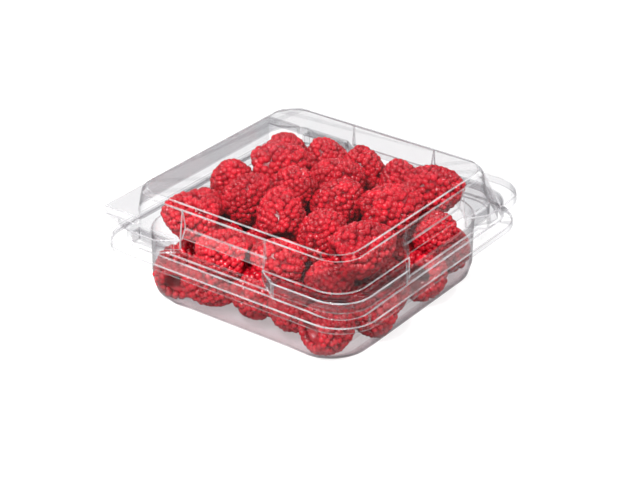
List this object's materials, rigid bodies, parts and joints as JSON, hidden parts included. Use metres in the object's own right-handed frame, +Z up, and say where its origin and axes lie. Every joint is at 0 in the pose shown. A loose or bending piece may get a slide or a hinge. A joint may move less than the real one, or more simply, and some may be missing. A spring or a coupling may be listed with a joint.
{
  "type": "hinged clear plastic punnet of raspberries",
  "caption": "Square clear plastic clamshell punnet with a domed hinged lid, side vents and a lifting tab, filled with fresh raspberries",
  "frame": {"origin": "middle of the pack's plan at the level it stands on", "axes": "Z up; X along the hinge; +Y towards the hinge; the lifting tab is at the +X, -Y corner"},
  "size_m": [0.1177, 0.1189, 0.0462],
  "materials": {
    "clear_sheet": "clear thermoformed sheet, glossy",
    "raspberry": "fresh red fruit, soft sheen"
  },
  "bodies": {
    "base": {"base_tray": "clear_sheet", "raspberry_01": "raspberry", "raspberry_02": "raspberry", "raspberry_03": "raspberry", "raspberry_04": "raspberry", "raspberry_05": "raspberry", "raspberry_06": "raspberry", "raspberry_07": "raspberry", "raspberry_08": "raspberry", "raspberry_09": "raspberry", "raspberry_10": "raspberry", "raspberry_11": "raspberry", "raspberry_12": "raspberry", "raspberry_13": "raspberry", "raspberry_14": "raspberry", "raspberry_15": "raspberry", "raspberry_16": "raspberry", "raspberry_17": "raspberry", "raspberry_18": "raspberry", "raspberry_19": "raspberry", "raspberry_20": "raspberry", "raspberry_21": "raspberry", "raspberry_22": "raspberry", "raspberry_23": "raspberry", "raspberry_24": "raspberry", "raspberry_25": "raspberry", "raspberry_26": "raspberry", "raspberry_27": "raspberry", "raspberry_28": "raspberry", "raspberry_29": "raspberry", "raspberry_30": "raspberry", "raspberry_31": "raspberry", "raspberry_32": "raspberry", "raspberry_33": "raspberry", "raspberry_34": "raspberry", "raspberry_35": "raspberry", "raspberry_36": "raspberry", "raspberry_37": "raspberry", "raspberry_38": "raspberry", "raspberry_39": "raspberry", "raspberry_40": "raspberry", "raspberry_41": "raspberry", "raspberry_42": "raspberry", "raspberry_43": "raspberry", "raspberry_44": "raspberry", "raspberry_45": "raspberry", "raspberry_46": "raspberry", "raspberry_47": "raspberry", "raspberry_48": "raspberry"},
    "hinge_strip": {"hinge_web": "clear_sheet"},
    "lid": {"lid": "clear_sheet"}
  },
  "joints": [
    {"name": "base_crease", "type": "hinge", "parent": "base", "child": "hinge_strip", "pos_m": [0, 0.0597, 0.02542], "axis": [-1, 0, 0], "range_deg": [0, 90]},
    {"name": "lid_crease", "type": "hinge", "parent": "hinge_strip", "child": "lid", "pos_m": [0, 0.0597, 0.03612], "axis": [-1, 0, 0], "range_deg": [0, 90]}
  ],
  "couplings": [
    {"joint": "base_crease", "follows": "lid_crease", "ratio": 1}
  ]
}
